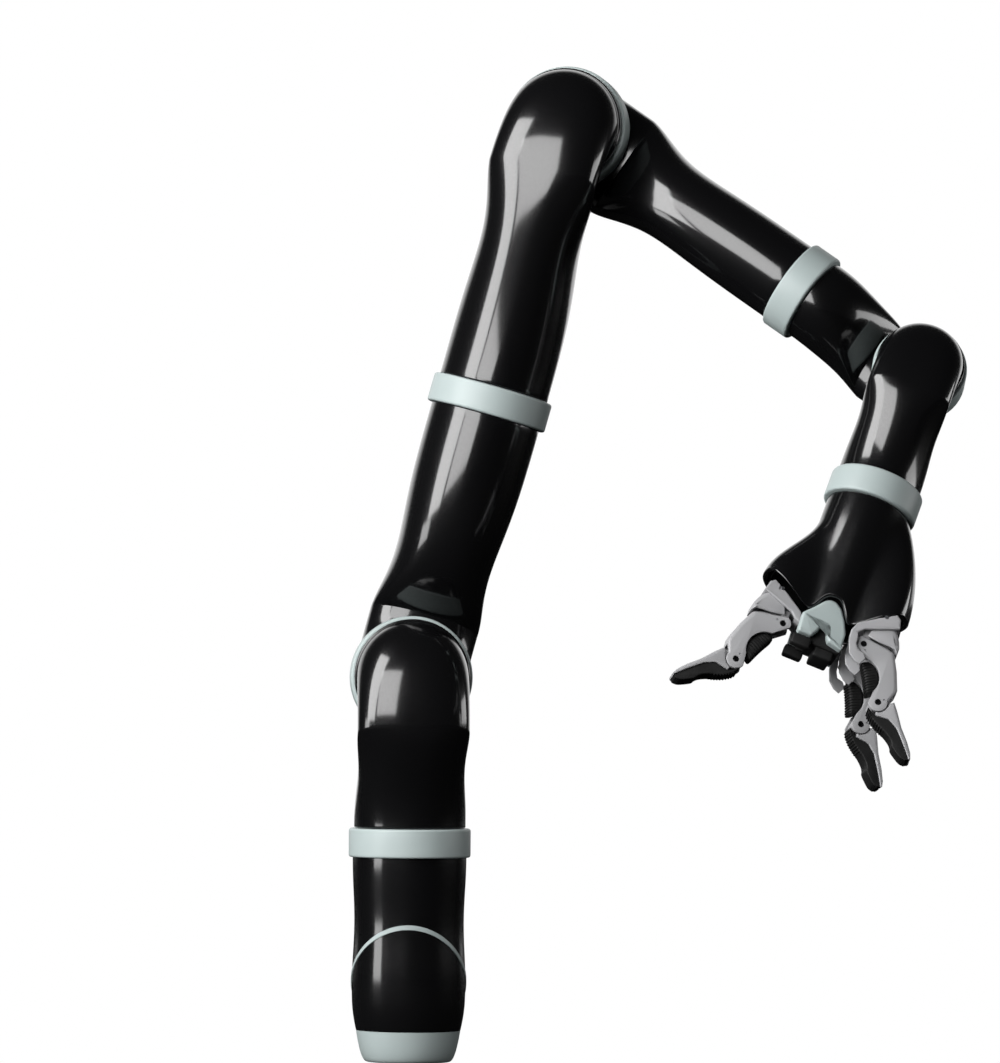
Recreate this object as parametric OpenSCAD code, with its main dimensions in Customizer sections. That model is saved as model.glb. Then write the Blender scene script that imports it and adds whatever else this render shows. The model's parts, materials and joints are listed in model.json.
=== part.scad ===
// Seven-axis lightweight robot arm with a three-finger gripper.
// Origin at the centre of the base's underside, +Z up, +Y away from the side the domes face.

/* [Pose at rest] */
// Turn of the shoulder about the base axis
turn_1 = 4; // [-180:0.5:180]
// Lean of the lower arm from straight up
turn_2 = 15.5; // [-60:0.5:60]
// Turn of the upper arm about its own axis
turn_3 = -16.5; // [-180:0.5:180]
// Fold of the elbow
turn_4 = 109.5; // [-115:0.5:115]
// Turn of the first wrist link about the forearm
turn_5 = -22; // [-180:0.5:180]
// Fold of the wrist
turn_6 = 72; // [-90:0.5:90]
// Turn of the hand about the second wrist link
turn_7 = -9.5; // [-180:0.5:180]
// Outward lean of each finger's first link: thumb, far finger, near finger
finger_lean = [30.5, 27.5, 31.5]; // [0:0.5:50]
// Outward bend of each finger's second link against the first
tip_bend = [21, 9, 13]; // [0:1:24]

/* [Link lengths] */
// Height of the first joint ring's middle above the floor
base_h = 156.75; // [150:0.25:170]
// First ring to the shoulder axis, along the arm
shoulder_len = 118.75; // [115:0.25:130]
// Shoulder axis to the third ring, and third ring to the elbow axis
half_arm_len = 205; // [190:1:230]
// Elbow axis to the fifth ring
forearm_len = 207.3; // [195:0.1:230]
// Sideways step between the upper arm's axis and the forearm's
forearm_step = 9.8; // [0:0.1:12]
// Fifth ring to the wrist axis, and wrist axis to the hand ring
wrist_len = 103.75; // [100:0.25:120]

/* [Joints] */
// Outer radius of the large joint rings
big_ring_r = 43.7; // [42:0.1:46]
// Outer radius of the small joint rings
small_ring_r = 33.6; // [32:0.1:36]
// Width of every joint ring along its axis
ring_w = 20.7; // [18:0.1:24]
// Running gap between the two sides of a joint
joint_gap = 0.6; // [0.4:0.1:1.2]
// Width of the black bezel beside a sideways joint's ring
bezel_w = 6.3; // [4:0.1:9]
// Radial clearance between a joint's hollow shaft and its bore
shaft_play = 0.05; // [0.02:0.01:0.1]

/* [Shells] */
// Outer radius of the large shells at their rings
big_tube_r = 39.9; // [38:0.1:41]
// Outer radius of the small shells at their rings
small_tube_r = 30.2; // [28:0.1:31]
// Radius of the large shells' domed ends
big_dome_r = 40; // [38:0.1:41]
// Radius of the small shells' domed ends
small_dome_r = 30; // [28:0.1:31]
// How far a large dome stands out from the arm's axis
big_dome_d = 57; // [52:1:62]
// How far a small dome stands out from the arm's axis
small_dome_d = 43; // [40:1:48]
// Wall thickness of the shells
wall = 2.5; // [1.6:0.1:3]

/* [Base] */
// Height of the pale foot
foot_h = 22.5; // [18:0.5:28]
// Radius of the foot at the floor
foot_low_r = 29; // [28:0.1:34]
// Radius of the foot at its top
foot_top_r = 37.4; // [36:0.1:42]
// Bolt circle diameter under the foot
bolt_circle = 44; // [40:1:50]
// Radius of the four threaded bolt holes
bolt_r = 2.5; // [2:0.1:3]
// Height at which the front cover's slanting edge crosses the sides
cover_mid_z = 58; // [54:1:64]
// Height of the pale trim strip, measured straight up
trim_h = 3.4; // [2:0.1:5]

/* [Hand] */
// Radius from the hand axis to the thumb's pivot
thumb_r = 30.4; // [26:0.1:32]
// Distance from the hand axis to the two fingers' pivots, along and across
finger_back = 26.5; // [25:0.1:35]
finger_side = 21.1; // [19:0.1:23]
// Turn of the two fingers' closing planes towards the hand axis
finger_yaw = 6; // [0:1:12]
// Distance from the hand ring's middle to the finger pivots
pivot_z = 116.8; // [112:0.1:120]
// Length of a finger's first link, pin to pin
link_len = 44; // [40:0.5:48]
// Half width of a finger's first link
link_half = 8.2; // [7.5:0.1:9]
// Half width of the lugs between the links' cheeks
lug_half = 5.6; // [5:0.1:5.8]
// Radius of the finger pins
pin_r = 1.95; // [1.8:0.01:2]

/* [Hidden] */
$fn = 96;
shell_black = [0.03, 0.03, 0.035];
pale_green = [0.66, 0.72, 0.70];
finger_grey = [0.62, 0.63, 0.64];
rubber_black = [0.05, 0.05, 0.05];
metal_grey = [0.45, 0.46, 0.48];
around = 32;
half_ring = ring_w / 2;
// The face of the side that turns against a ring, measured from the ring's middle
far_face = half_ring + joint_gap;
ring_wall_big = 7.2;
ring_wall_small = 5.8;
turns = [0, turn_1, turn_2, turn_3, turn_4, turn_5, turn_6, turn_7];
steps = [
    [0, 0, 0],
    [0, 0, base_h],
    [0, 0, shoulder_len],
    [0, 0, half_arm_len],
    [0, 0, half_arm_len],
    [0, forearm_step, forearm_len],
    [0, 0, wrist_len],
    [0, 0, wrist_len]
];

// Frame of link k: its origin is on joint k, its Z runs along the link.
module link_frame(k) {
    if (k == 0)
        children();
    else
        link_frame(k - 1)
            translate(steps[k])
            rotate(k % 2 == 0 ? [0, turns[k], 0] : [0, 0, turns[k]])
            children();
}

// Frame of joint k: its Z runs along the joint's axis, from the driven side to the output side.
module joint_frame(k) {
    link_frame(k)
        rotate(k == 6 ? [90, 0, 0] : (k % 2 == 0 ? [-90, 0, 0] : [0, 0, 0]))
        children();
}

function is_big(k) = k < 5;
function ring_r(k) = is_big(k) ? big_ring_r : small_ring_r;
function ring_hole(k) = ring_r(k) - (is_big(k) ? ring_wall_big : ring_wall_small);
// The ring sits on the output side at the shoulder and the elbow, else on the driven side.
function ring_on_output(k) = k == 2 || k == 4;
function shaft_r(k) = is_big(k) ? 12 : 9;

module tube(r_out, r_in, z0, z1) {
    translate([0, 0, z0])
        difference() {
            cylinder(r = r_out, h = z1 - z0);
            translate([0, 0, -1]) cylinder(r = r_in, h = z1 - z0 + 2);
        }
}

// A split band with rounded edges and a screwed clasp.
module joint_ring(k) {
    edge = 1.6;
    r = ring_r(k);
    color(pale_green)
        joint_frame(k)
        difference() {
            rotate_extrude()
                polygon([
                    [ring_hole(k), -half_ring],
                    [r - edge, -half_ring],
                    for (a = [-75 : 15 : 0]) [r - edge + edge * cos(a), -half_ring + edge + edge * sin(a)],
                    for (a = [0 : 15 : 75]) [r - edge + edge * cos(a), half_ring - edge + edge * sin(a)],
                    [r - edge, half_ring],
                    [ring_hole(k), half_ring]
                ]);
            rotate([0, 0, 205]) translate([r - 3, -0.3, -half_ring - 1]) cube([6, 0.6, ring_w + 2]);
            rotate([0, 0, 205]) translate([r - 1.2, 6, 0]) rotate([0, 90, 0]) cylinder(r = 1.6, h = 6);
        }
}

// The black bezel that closes a sideways joint against its ring.
module bezel(k, z0, z1) {
    tube(ring_r(k) - 2.2, ring_hole(k) - 0.1, z0, z1);
}

// Motor and gearbox of joint k, with the bore that its hollow output shaft runs in.
module actuator(k) {
    body_r = ring_hole(k);
    deep_r = is_big(k) ? 27 : 20;
    deep = is_big(k) ? 18 : 12;
    top = ring_on_output(k) ? -half_ring - joint_gap : half_ring;
    bottom = ring_on_output(k) ? top - bezel_w : -half_ring;
    color(metal_grey)
        joint_frame(k)
        difference() {
            union() {
                translate([0, 0, bottom]) cylinder(r = body_r, h = top - bottom);
                translate([0, 0, bottom - deep]) cylinder(r = deep_r, h = deep + 1);
                translate([0, 0, bottom - deep - 8]) cylinder(r = 0.66 * deep_r, h = 9);
                if (ring_on_output(k)) bezel(k, bottom, top);
            }
            translate([0, 0, bottom - deep - 9])
                cylinder(r = shaft_r(k) + shaft_play, h = top - bottom + deep + 12);
            for (i = [0 : 5])
                rotate([0, 0, 60 * i]) translate([body_r - 5, 0, top - 3]) cylinder(r = 1.3, h = 4, $fn = 24);
        }
}

// Output flange of joint k with its hollow shaft and its ring of screw holes.
module output(k) {
    bottom = ring_on_output(k) ? -half_ring : far_face;
    top = ring_on_output(k) ? half_ring : far_face + (k == 6 ? bezel_w : 6);
    flange_r = ring_on_output(k) ? ring_hole(k) : (is_big(k) ? big_tube_r : small_tube_r) - wall - 0.4;
    shaft_len = is_big(k) ? 26 : 20;
    color(metal_grey)
        joint_frame(k)
        difference() {
            union() {
                translate([0, 0, bottom]) cylinder(r = flange_r, h = top - bottom);
                translate([0, 0, bottom - shaft_len]) cylinder(r = shaft_r(k), h = shaft_len + 1);
                if (k == 6) bezel(k, bottom, top);
            }
            translate([0, 0, bottom - shaft_len - 1])
                cylinder(r = shaft_r(k) - 3, h = shaft_len + top - bottom + 2);
            for (i = [0 : 5])
                rotate([0, 0, 60 * i + 30])
                    translate([flange_r - 6, 0, top - 4])
                    cylinder(r = 1.6, h = 5, $fn = 24);
        }
}

// ---- Link shells ----
// Each shell runs from a round rim on an along-the-arm joint to a round mouth on a sideways joint.
// A section joins a point on the domed side to a point on the open side; both follow smooth curves.

function curve(p, t) =
    pow(1 - t, 3) * p[0] + 3 * t * pow(1 - t, 2) * p[1] + 3 * t * t * (1 - t) * p[2] + t * t * t * p[3];
function mix(a, b, t) = a + (b - a) * t;
function ease(t) = t * t * (3 - 2 * t);
function power(x, e) = sign(x) * pow(abs(x), e);

// One section: [domed-side point, open-side point, half width, fullness]
function shell_section(s, len, rim_r, shift, mouth_r, mouth_w, depth, ring) =
    let (
        k = mouth_r / 40,
        heel = len - ring - 2.8,
        brow = heel + 12 * k,
        open_side = [
            [shift - rim_r, 0],
            [shift - rim_r, max(0.25 * heel, heel - 60 * k)],
            [shift - rim_r + 5, heel - 26 * k],
            [mouth_w + 0.5, heel]
        ],
        back_side = [[shift + rim_r, 0], [shift + rim_r, 0.4 * brow], [depth, 0.7 * brow], [depth, brow]],
        dome = [
            [depth, brow],
            [depth, len + 4 * k],
            [mix(mouth_w, depth, 0.6), len + mouth_r],
            [mouth_w, len + mouth_r]
        ],
        t1 = min(1, 2 * s),
        t2 = max(0, 2 * s - 1),
        thin = 0.0325 * (len - 52) * pow(sin(180 * pow(t1, 1.5)), 2)
    )
    [
        t2 == 0 ? curve(back_side, t1) : curve(dome, t2),
        t2 == 0 ? curve(open_side, t1) : mix([mouth_w + 0.5, heel], [mouth_w, len - mouth_r], t2),
        mix(rim_r, mouth_r, t1 * ease(t1)) - thin,
        mix(2, 2.35, pow(sin(180 * s), 2))
    ];

function section_points(sec, inset) =
    let (
        mid = (sec[0] + sec[1]) / 2,
        half = norm(sec[0] - sec[1]) / 2,
        dir = (sec[0] - sec[1]) / (2 * half)
    )
    [
        for (i = [0 : around - 1])
            let (
                a = 360 * i / around,
                across = (sec[2] - inset) * power(cos(a), 2 / sec[3]),
                along = mid + dir * (half - inset) * power(sin(a), 2 / sec[3])
            )
            [across, along[0], along[1]]
    ];

// A closed hollow skin through rings of points: rings outside, then the same rings inside.
module ring_skin(outer, inner) {
    rows = len(outer);
    cols = len(outer[0]);
    points = [for (ring = outer) each ring, for (ring = inner) each ring];
    base = rows * cols;
    faces = [
        for (i = [0 : rows - 2], j = [0 : cols - 1])
            let (a = i * cols + j, b = i * cols + (j + 1) % cols)
            each [[a, b, b + cols], [a, b + cols, a + cols]],
        for (i = [0 : rows - 2], j = [0 : cols - 1])
            let (a = base + i * cols + j, b = base + i * cols + (j + 1) % cols)
            each [[b, a, b + cols], [b + cols, a, a + cols]],
        for (j = [0 : cols - 1])
            let (a = j, b = (j + 1) % cols)
            each [[b, a, base + a], [b, base + a, base + b]],
        for (j = [0 : cols - 1])
            let (a = (rows - 1) * cols + j, b = (rows - 1) * cols + (j + 1) % cols)
            each [[a, b, base + b], [a, base + b, base + a]]
    ];
    polyhedron(points, faces, convexity = 6);
}

module link_shell(len, rim_r, shift, mouth_r, mouth_w, depth, ring) {
    stations = [for (i = [0 : 16]) i / 16];
    sections = [for (s = stations) shell_section(s, len, rim_r, shift, mouth_r, mouth_w, depth, ring)];
    ring_skin(
        [for (sec = sections) section_points(sec, 0)],
        [for (sec = sections) section_points(sec, wall)]
    );
}

module shoulder_shell() {
    color(shell_black)
        link_frame(1)
        translate([0, 0, far_face])
        mirror([0, 1, 0])
        link_shell(
            shoulder_len - far_face, big_tube_r, 0, big_dome_r, far_face + bezel_w, big_dome_d, big_ring_r
        );
}

module lower_arm_shell() {
    color(shell_black)
        link_frame(2)
        translate([0, 0, half_arm_len - half_ring])
        mirror([0, 0, 1])
        link_shell(half_arm_len - half_ring, big_tube_r, 0, big_dome_r, half_ring, big_dome_d, big_ring_r);
}

module upper_arm_shell() {
    color(shell_black)
        link_frame(3)
        translate([0, 0, far_face])
        mirror([0, 1, 0])
        link_shell(
            half_arm_len - far_face, big_tube_r, 0, big_dome_r, far_face + bezel_w, big_dome_d, big_ring_r
        );
}

module forearm_shell() {
    color(shell_black)
        link_frame(4)
        translate([0, 0, forearm_len - half_ring])
        mirror([0, 0, 1])
        link_shell(
            forearm_len - half_ring, small_tube_r, forearm_step, big_dome_r, half_ring, big_dome_d, big_ring_r
        );
}

module wrist_1_shell() {
    color(shell_black)
        link_frame(5)
        translate([0, 0, far_face])
        link_shell(wrist_len - far_face, small_tube_r, 0, small_dome_r, half_ring, small_dome_d, small_ring_r);
}

module wrist_2_shell() {
    color(shell_black)
        link_frame(6)
        translate([0, 0, wrist_len - half_ring])
        mirror([0, 1, 0])
        mirror([0, 0, 1])
        link_shell(
            wrist_len - half_ring, small_tube_r, 0, small_dome_r, far_face + bezel_w, small_dome_d, small_ring_r
        );
}

// ---- Base ----
// Radius of the base at a height: swells low down, has a waist under the ring, and tucks in above the foot.
function base_r(z) = 40 + 0.75 * cos(4 * (z - 55)) - 0.0045 * pow(max(0, 44 - z), 2);
base_top = base_h - half_ring;
base_inner_r = 35.5;

module base_outline(extra) {
    rotate_extrude()
        polygon([
            [base_inner_r, foot_h],
            for (i = [0 : 16]) let (z = mix(foot_h, base_top, i / 16)) [base_r(z) + extra, z],
            [base_inner_r, base_top]
        ]);
}

// A block that fills everything above the cover's slanting edge, lifted by up.
module above_edge(up) {
    translate([0, 0, cover_mid_z + up]) rotate([-45, 0, 0]) translate([-100, -150, 0]) cube([200, 300, 250]);
}

module base_foot() {
    color(pale_green)
        difference() {
            rotate_extrude()
                polygon([
                    [0, 0],
                    for (i = [0 : 12])
                        [mix(foot_low_r, foot_top_r, pow(i / 12, 0.84)), foot_h * pow(i / 12, 2)],
                    [0, foot_h]
                ]);
            translate([0, 0, 14]) cylinder(r = 30, h = foot_h);
            for (i = [0 : 3])
                rotate([0, 0, 45 + 90 * i]) translate([bolt_circle / 2, 0, -1]) cylinder(r = bolt_r, h = 16);
        }
}

module base_shell() {
    color(shell_black)
        difference() {
            intersection() {
                base_outline(0);
                above_edge(trim_h / 2);
            }
            translate([-17, 20, 68]) cube([34, 30, 52]);
        }
}

module base_cover() {
    color(shell_black)
        difference() {
            base_outline(0);
            above_edge(-trim_h / 2);
        }
}

module base_trim() {
    color(pale_green)
        difference() {
            intersection() {
                base_outline(0.7);
                above_edge(-trim_h / 2);
            }
            above_edge(trim_h / 2);
        }
}

module controller_board() {
    color("darkgreen")
        union() {
            translate([0, 0, 50]) cylinder(r = 31, h = 1.6);
            translate([-12, -12, 51.6]) cube([24, 24, 4]);
            translate([-22, 14, 51.6]) cube([14, 8, 9]);
            translate([10, 14, 51.6]) cube([12, 8, 7]);
            for (i = [0 : 2])
                rotate([0, 0, 120 * i + 15]) translate([26, 0, foot_h - 8.5]) cylinder(r = 2.5, h = 36);
        }
}

socket_sites = [[-8, 80, 5.5], [8, 80, 5.5], [-8, 98, 4.5]];
button_site = [8, 98];
panel_y = 34;

module on_panel(site) {
    translate([site[0], panel_y, site[1]]) rotate([-90, 0, 0]) children();
}

module connector_panel() {
    color(rubber_black)
        difference() {
            union() {
                translate([-16.9, panel_y - 1.5, 68.1]) cube([33.8, 3, 51.8]);
                for (s = socket_sites)
                    on_panel(s) translate([0, 0, -8]) cylinder(r = s[2] + 1.5, h = 11, $fn = 48);
            }
            for (s = socket_sites)
                on_panel(s) translate([0, 0, -6]) cylinder(r = s[2], h = 12, $fn = 48);
            on_panel(button_site) translate([0, 0, -4]) cylinder(r = 4.1, h = 12, $fn = 48);
            translate([-9, panel_y - 6, 108]) cube([18, 12, 5]);
        }
}

module power_button() {
    color(metal_grey)
        on_panel(button_site)
        union() {
            translate([0, 0, -7]) cylinder(r = 4, h = 11, $fn = 48);
            translate([0, 0, -9]) cylinder(r = 5.5, h = 3, $fn = 48);
        }
}

// ---- Hand ----
hand_mouth = 106;
lobe_angles = [0, 155, 205];
lobe_widths = [34, 25, 25];
lobe_reach = [54.6, 54.8, 54.8];

function turn_between(a, b) = abs((a - b + 540) % 360 - 180);
function bump(x, e) = exp(-pow(x, e));
function lobe(a, i, e) = bump(turn_between(a, lobe_angles[i]) / lobe_widths[i], e);
// Edge of the shell: cut back over each lobe's end and in an arch over each valley
function mouth_z(a) =
    hand_mouth
    - max(22 * lobe(a, 0, 4), 18.5 * lobe(a, 1, 4), 18.5 * lobe(a, 2, 4))
    - 16 * max(bump(turn_between(a, 80) / 29, 3), bump(turn_between(a, 280) / 29, 3));
// The thumb's lobe swells late; the fingers' lobes swell from the ring on.
function swell(s, i) = i == 0 ? ease(max(0, (s - 0.25) / 0.75)) : 1 - pow(1 - s, 1.9);
function flare(s, i) = mix(small_tube_r, lobe_reach[i], swell(s, i));
function hand_r(a, s) =
    let (
        waist = mix(small_tube_r, 25, ease(s)),
        e = mix(2, 4, s)
    )
    waist + max([for (i = [0 : 2]) (flare(s, i) - waist) * lobe(a, i, e)]);
function hand_ring(s, inset, n) = [
    for (i = [0 : n - 1])
        let (
            a = 360 * i / n,
            r = hand_r(a, s) - inset
        )
        [r * cos(a), r * sin(a), mix(far_face, mouth_z(a), s)]
];

module hand_shell() {
    color(shell_black)
        link_frame(7)
        ring_skin(
            [for (i = [0 : 14]) hand_ring(i / 14, 0, 60)],
            [for (i = [0 : 14]) hand_ring(i / 14, wall, 60)]
        );
}

// The pale block between the fingers: an arched cheek in each valley, joined by a core.
module palm_cover() {
    arch = [
        [21, 107.5], [20.4, 120.5], [19, 122], [9.6, 122], [6.4, 116], [5.6, 112.4],
        [3.4, 110.6], [1.2, 111.6], [-0.6, 118], [-2.8, 121.5], [-13.5, 124], [-12.6, 111.5],
        [-9, 102.6], [-4.2, 95], [0.6, 91.6], [5.2, 91], [9.4, 93.8], [14.4, 100.4]
    ];
    color(pale_green)
        link_frame(7)
        union() {
            difference() {
                cheek(20.4) polygon(arch);
                cheek(13.2) polygon([[-40, 104.6], [40, 104.6], [40, 140], [-40, 140]]);
            }
            translate([4, 0, 84]) cylinder(r = 9, h = 16);
        }
}

// The black gripping pads of the palm: a middle tooth, and one on each side of the thumb.
module palm_pad() {
    color(rubber_black)
        link_frame(7)
        union() {
            translate([-13.5, -12.9, 104.9]) cube([23.5, 25.8, 20.1]);
            translate([-10, -11, 120]) cube([14, 22, 11.5]);
            for (side = [-1, 1]) {
                translate([9, side > 0 ? 7.4 : -12.9, 104.9]) cube([6.5, 5.5, 20.1]);
                translate([8, side > 0 ? 9 : -16.4, 122.3]) cube([14, 7.4, 8.2]);
            }
        }
}

drive_sites = [[12, 0], [-8, 12], [-8, -12]];

module finger_drives() {
    color(metal_grey)
        link_frame(7)
        for (site = drive_sites)
            translate([site[0], site[1], 20])
            union() {
                cylinder(r = 7.5, h = 48, $fn = 48);
                translate([0, 0, 48]) cylinder(r = 2.5, h = 8, $fn = 32);
            }
}

// ---- Fingers ----
finger_sites = [
    [thumb_r, 0, 0],
    [-finger_back, finger_side, 180 - finger_yaw],
    [-finger_back, -finger_side, 180 + finger_yaw]
];
slot_half = 6;
knuckle_half = 9.4;
bracket_half = 12;

// Frame of a finger's pivot: X outward, Z along the hand.
module pivot_frame(i) {
    link_frame(7)
        translate([finger_sites[i][0], finger_sites[i][1], pivot_z])
        rotate([0, 0, finger_sites[i][2]])
        children();
}

// Frame of a finger's first link: Z from pin to pin, X towards its back.
module finger_frame(i) {
    pivot_frame(i) rotate([0, finger_lean[i], 0]) children();
}

// Frame of a finger's second link: Z from its pin to its tip.
module tip_frame(i) {
    finger_frame(i) translate([0, 0, link_len]) rotate([0, tip_bend[i], 0]) children();
}

// Extrudes an outline drawn in X and Z across the finger, between two half widths.
module cheek(half) {
    rotate([90, 0, 0]) linear_extrude(2 * half, center = true) children();
}

function arc(cx, cy, r, a0, a1, n) = [
    for (i = [0 : n]) let (a = mix(a0, a1, i / n)) [cx + r * cos(a), cy + r * sin(a)]
];

bracket_outline = [
    [-9, -11.8], [5.1, -21.4], [15.4, -27.4], [18.6, -24.9], [20.5, -17.8],
    [-2.5, -9.3], [-6.5, -5.4], [-10.4, -3.4], [-11.6, -5.4]
];

// Side plates of a finger's bracket that reach round the palm side of its pin
bracket_leg = [
    [-6.5, -5.4], [-11.2, -4.6], [-10.6, 3], [-7.6, 11.2], [-2.8, 15.4], [1.8, 17],
    [2.4, 11.5], [-3, 9.6], [-6.6, 5], [-8, 0], [-7.6, -4]
];

module bracket(i) {
    color(finger_grey)
        pivot_frame(i)
        difference() {
            union() {
                difference() {
                    cheek(bracket_half) polygon(bracket_outline);
                    translate([-6.5, -9.8, -40]) cube([25.3, 19.6, 60]);
                }
                if (i > 0)
                    difference() {
                        cheek(bracket_half) polygon(bracket_leg);
                        cheek(9.8) polygon([[-20, -20], [20, -20], [20, 20], [-20, 20]]);
                    }
                translate([-9, -lug_half, -13.4]) cube([12, 2 * lug_half, 3.4]);
                translate([-2.5, -lug_half, -15]) cube([5.5, 2 * lug_half, 15]);
                cheek(lug_half) circle(r = 4.6);
            }
            cheek(10) circle(r = pin_r + shaft_play);
        }
}

link_outline = concat(
    arc(0, 0, 6, 200, 285, 8),
    [[10.6, 1.6], [16.5, 6]],
    arc(15.8, 11.5, 4, -50, 0, 4),
    [[18.6, 24], [15.9, 37.2], [13.6, 40.2]],
    arc(0, link_len, 6.8, 8, 190, 14),
    arc(-8.9, 23, 14.5, 58, -58, 14)
);

module finger_link(i) {
    color(finger_grey)
        finger_frame(i)
        difference() {
            cheek(link_half) polygon(link_outline);
            cheek(slot_half) polygon([[-20, -20], [14, -20], [17, 12], [13.2, 36], [9, 60], [-20, 60]]);
            for (z = [0, link_len]) translate([0, 0, z]) cheek(12) circle(r = pin_r);
        }
}

module finger_knuckle(i) {
    color(finger_grey)
        finger_frame(i)
        difference() {
            cheek(knuckle_half)
                polygon(concat(
                    [[4, -4.8], [8, -9]],
                    arc(0, 0, 25.2, -20, 18, 8),
                    [[21.5, 11.5], [19.9, 9], [16.7, 5.7], [10.8, 1.4]]
                ));
            cheek(slot_half + 2.3) polygon([[-20, -20], [16, -20], [21, -6], [21, 4], [19.95, 20], [-20, 20]]);
        }
}

module finger_link_pad(i) {
    ribs = 13;
    pitch = 2;
    color(rubber_black)
        finger_frame(i)
        union() {
            cheek(slot_half)
                polygon(concat(
                    [[-4.2, 11.6], [-4.4, 24], [-6.6, 36.2], [-3, 36.2]],
                    arc(-8.9, 23, 14.5, 52, -52, 12)
                ));
            for (r = [0 : ribs - 1])
                translate([-4.8 - 0.016 * pow(r, 2), -slot_half - 0.8, 11.2 + pitch * r])
                    cube([2.4, 2 * slot_half + 1.6, 1.1]);
        }
}

module finger_pins(i) {
    color(metal_grey)
        finger_frame(i)
        for (z = [0, link_len])
            translate([0, 0, z])
                rotate([90, 0, 0])
                cylinder(r = pin_r, h = 2 * link_half - 0.6, center = true, $fn = 48);
}

tip_back = [[11, 4.2], [10, 11.2], [7.4, 23], [6.3, 34.3], [4.8, 42], [2.6, 46.3]];
tip_inner = [[1.2, 46.3], [2.2, 39.4], [2.9, 32], [3.6, 22.4], [1.6, 14.2], [-5.4, 8.2]];

module finger_tip(i) {
    color(finger_grey)
        tip_frame(i)
        difference() {
            union() {
                difference() {
                    cheek(7.6) polygon(concat(tip_back, tip_inner, arc(0, 0, 7.4, 128, 30, 8)));
                    translate([-2, -1.3, 26]) cube([20, 2.6, 40]);
                }
                cheek(lug_half) circle(r = 5);
                cheek(lug_half) polygon([[-3, 3], [5, 0], [8, 6], [0, 10]]);
            }
            cheek(12) circle(r = pin_r + shaft_play);
        }
}

module finger_tip_pad(i) {
    palm_side = [
        [-7.9, 0.4], [-8.7, 4], [-8.6, 9.5], [-7.1, 15.5], [-5, 21.5], [-4, 27],
        [-4.3, 30.5], [-5.2, 33], [-4.6, 38], [-3.4, 43], [-1.2, 45.9]
    ];
    inner = [for (k = [len(tip_inner) - 1 : -1 : 0]) tip_inner[k]];
    color(rubber_black)
        tip_frame(i)
        cheek(6.6)
        polygon(concat([[-7.3, 1]], inner, [for (k = [len(palm_side) - 1 : -1 : 0]) palm_side[k]]));
}

base_foot();
base_shell();
base_cover();
base_trim();
controller_board();
connector_panel();
power_button();
joint_ring(1);  // ring_1
joint_ring(2);  // ring_2
joint_ring(3);  // ring_3
joint_ring(4);  // ring_4
joint_ring(5);  // ring_5
joint_ring(6);  // ring_6
joint_ring(7);  // ring_7
actuator(1);  // actuator_1
actuator(2);  // actuator_2
actuator(3);  // actuator_3
actuator(4);  // actuator_4
actuator(5);  // actuator_5
actuator(6);  // actuator_6
actuator(7);  // actuator_7
output(1);  // output_1
output(2);  // output_2
output(3);  // output_3
output(4);  // output_4
output(5);  // output_5
output(6);  // output_6
output(7);  // output_7
shoulder_shell();
lower_arm_shell();
upper_arm_shell();
forearm_shell();
wrist_1_shell();
wrist_2_shell();
hand_shell();
palm_cover();
palm_pad();
finger_drives();
bracket(0);  // thumb_bracket
bracket(1);  // far_finger_bracket
bracket(2);  // near_finger_bracket
finger_link(0);  // thumb_link
finger_link(1);  // far_finger_link
finger_link(2);  // near_finger_link
finger_knuckle(0);  // thumb_knuckle
finger_knuckle(1);  // far_finger_knuckle
finger_knuckle(2);  // near_finger_knuckle
finger_link_pad(0);  // thumb_link_pad
finger_link_pad(1);  // far_finger_link_pad
finger_link_pad(2);  // near_finger_link_pad
finger_pins(0);  // thumb_pins
finger_pins(1);  // far_finger_pins
finger_pins(2);  // near_finger_pins
finger_tip(0);  // thumb_tip
finger_tip(1);  // far_finger_tip
finger_tip(2);  // near_finger_tip
finger_tip_pad(0);  // thumb_tip_pad
finger_tip_pad(1);  // far_finger_tip_pad
finger_tip_pad(2);  // near_finger_tip_pad
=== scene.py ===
"""Looks of a seven-axis robot arm with a three-finger gripper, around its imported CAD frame."""

import json
import math

import bmesh
import bpy
import numpy as np
from mathutils import Matrix, Vector


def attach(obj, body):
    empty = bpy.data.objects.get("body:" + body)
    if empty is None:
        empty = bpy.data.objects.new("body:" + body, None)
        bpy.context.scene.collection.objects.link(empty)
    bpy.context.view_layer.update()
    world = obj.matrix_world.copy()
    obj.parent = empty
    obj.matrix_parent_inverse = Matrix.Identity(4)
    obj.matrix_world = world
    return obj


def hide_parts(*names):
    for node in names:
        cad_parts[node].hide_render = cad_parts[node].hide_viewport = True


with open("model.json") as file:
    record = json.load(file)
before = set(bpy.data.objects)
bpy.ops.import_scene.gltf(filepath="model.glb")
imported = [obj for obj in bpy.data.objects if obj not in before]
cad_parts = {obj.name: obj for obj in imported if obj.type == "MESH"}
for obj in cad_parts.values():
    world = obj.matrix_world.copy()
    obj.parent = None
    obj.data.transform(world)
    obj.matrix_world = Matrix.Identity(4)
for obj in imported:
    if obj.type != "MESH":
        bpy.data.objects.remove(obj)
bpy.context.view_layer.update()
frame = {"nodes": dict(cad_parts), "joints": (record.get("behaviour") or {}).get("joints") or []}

MM = 0.001

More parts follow.
